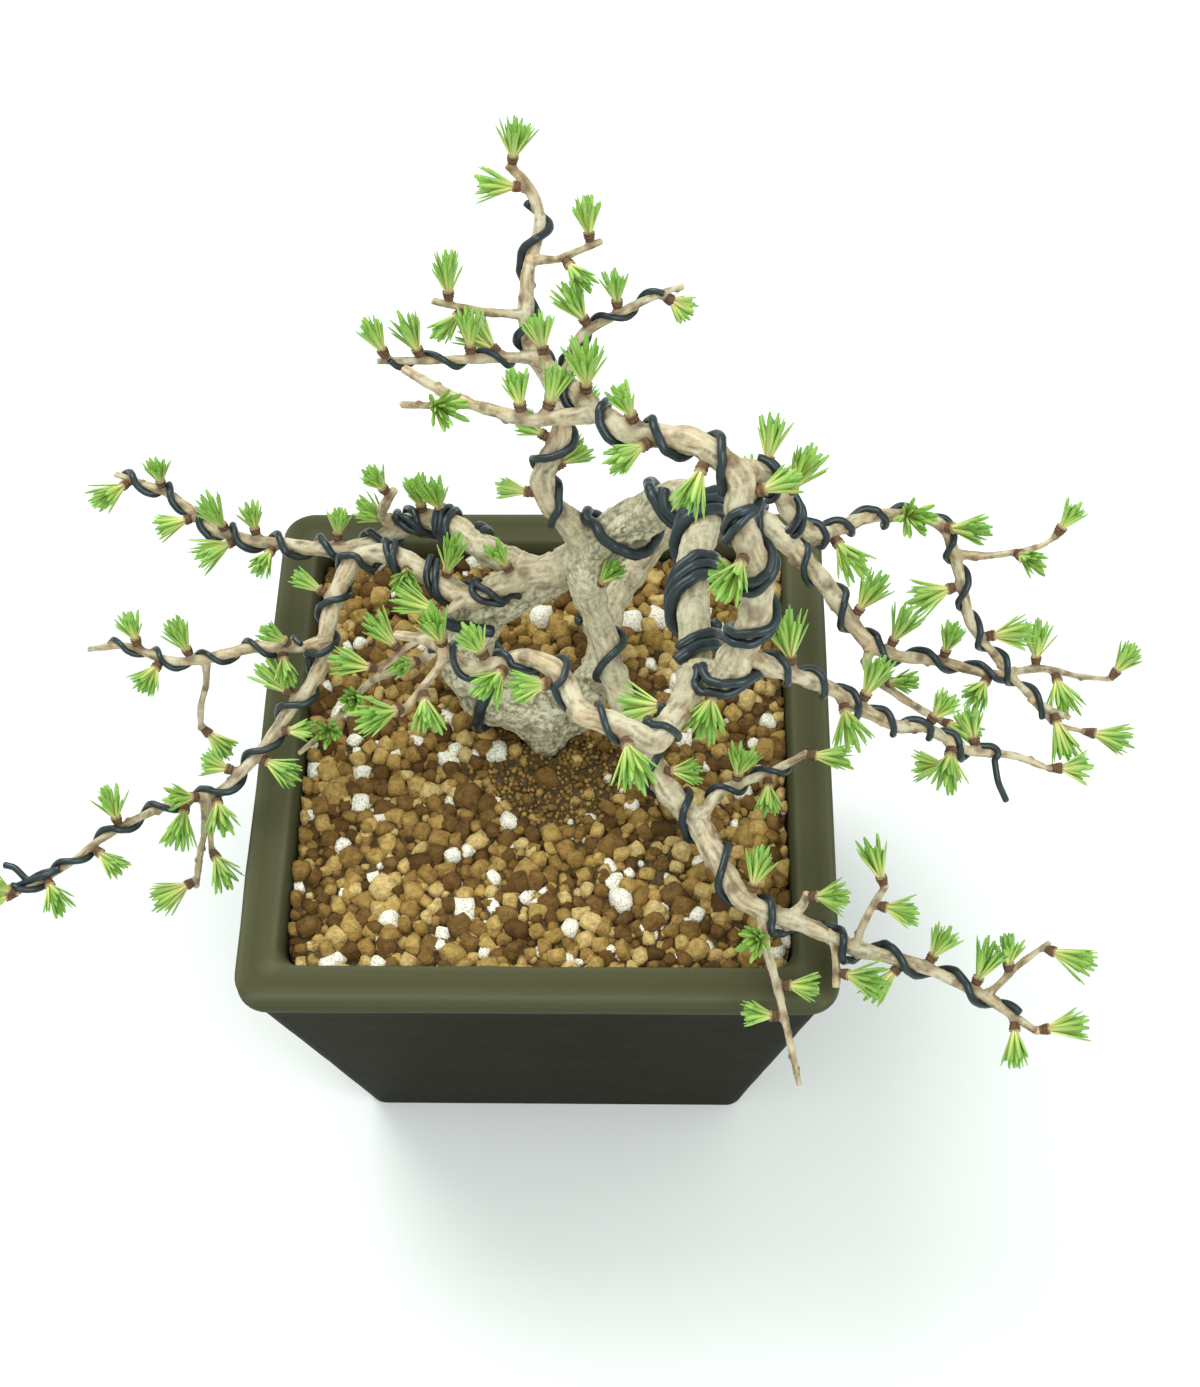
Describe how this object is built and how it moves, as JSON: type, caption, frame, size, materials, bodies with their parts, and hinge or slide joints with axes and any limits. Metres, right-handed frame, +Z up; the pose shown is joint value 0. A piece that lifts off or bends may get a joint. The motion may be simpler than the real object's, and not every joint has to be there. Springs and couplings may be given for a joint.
{
  "type": "larch bonsai in a pot",
  "caption": "Small wired larch bonsai with a twisted trunk and spring needle tufts, in gritty soil in a square tapered pot.",
  "frame": {"origin": "centre of the pot's flat underside, on the ground", "axes": "+Z up; -Y is the tree's front, which the picture shows; +X to the viewer's right"},
  "size_m": [0.2961, 0.1877, 0.2648],
  "materials": {
    "glaze": "dark olive grey-brown satin glaze, worn paler along the rim",
    "screen_plastic": "black plastic mesh",
    "soil": "loose fired clay, lava and pumice grains, matt",
    "bark": "grey-tan flaking bark",
    "foliage": "tan young bark and soft green needles",
    "wire": "dark anodised, satin"
  },
  "bodies": {
    "root": {"pot": "glaze", "screen_left": "screen_plastic", "screen_right": "screen_plastic", "soil": "soil", "trunk": "bark", "leader": "foliage", "branch_back": "foliage", "branch_far_left": "foliage", "branch_left": "foliage", "branch_low_left": "foliage", "branch_front_left": "foliage", "branch_front_right": "foliage", "branch_right_middle": "foliage", "branch_right_top": "foliage", "branch_right": "foliage", "wire_foot": "wire", "wire_arc": "wire", "wire_leader": "wire", "wire_back": "wire", "wire_back_right": "wire", "wire_back_left": "wire", "wire_far_left": "wire", "wire_left": "wire", "wire_left_twig": "wire", "wire_front_left": "wire", "wire_front_right": "wire", "wire_front_twig": "wire", "wire_right_middle": "wire", "wire_right_top": "wire", "wire_right": "wire"}
  },
  "joints": []
}
